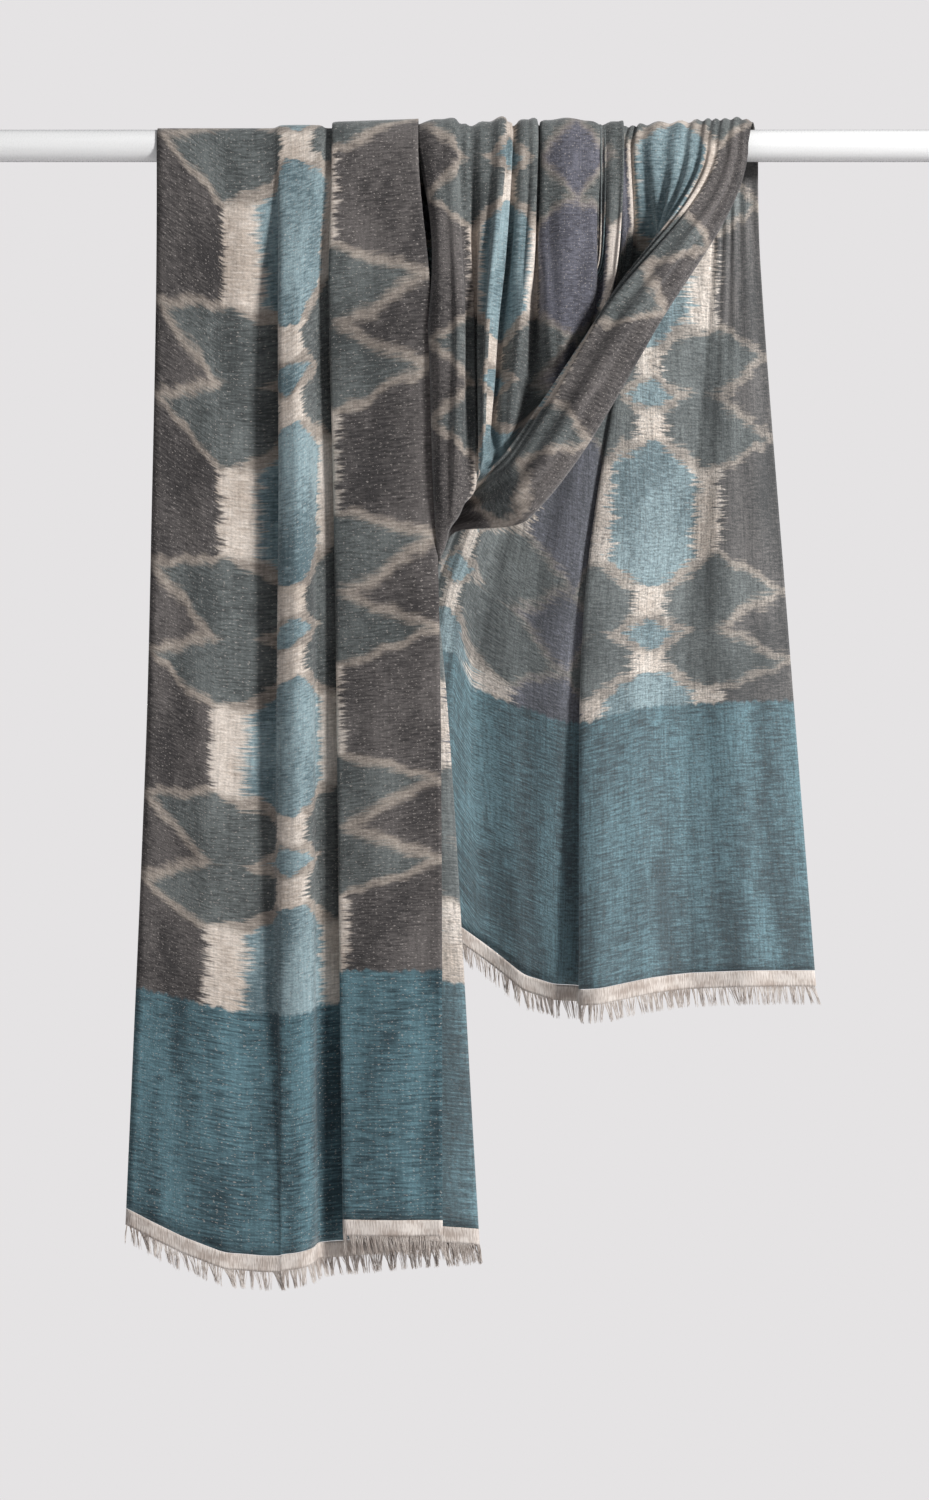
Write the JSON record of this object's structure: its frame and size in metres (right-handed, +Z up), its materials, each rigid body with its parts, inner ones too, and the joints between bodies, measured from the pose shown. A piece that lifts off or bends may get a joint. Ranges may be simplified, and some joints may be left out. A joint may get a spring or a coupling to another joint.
{
  "type": "pashmina shawl draped over a rod",
  "caption": "Long patterned woven shawl with fringed ends, thrown over a plain round rod with a pleated front tail, a deep front swag and a shorter back tail.",
  "frame": {"origin": "on the rod's axis, at the middle of its length", "axes": "+Z up, +X along the rod to the viewer's right, -Y towards the viewer"},
  "size_m": [0.72, 0.1088, 0.8035],
  "materials": {
    "ikat_cloth": "soft matt plain weave with a feathered pattern in charcoal, slate, teal and cream",
    "cream_ends": "soft matt undyed weave and loose fringe yarns",
    "white_rod": "smooth white gloss"
  },
  "bodies": {
    "root": {"rod": "white_rod", "front_tail": "ikat_cloth", "back_loop": "ikat_cloth", "swag": "ikat_cloth", "back_tail": "ikat_cloth", "front_fringe": "cream_ends", "back_fringe": "cream_ends"}
  },
  "joints": []
}
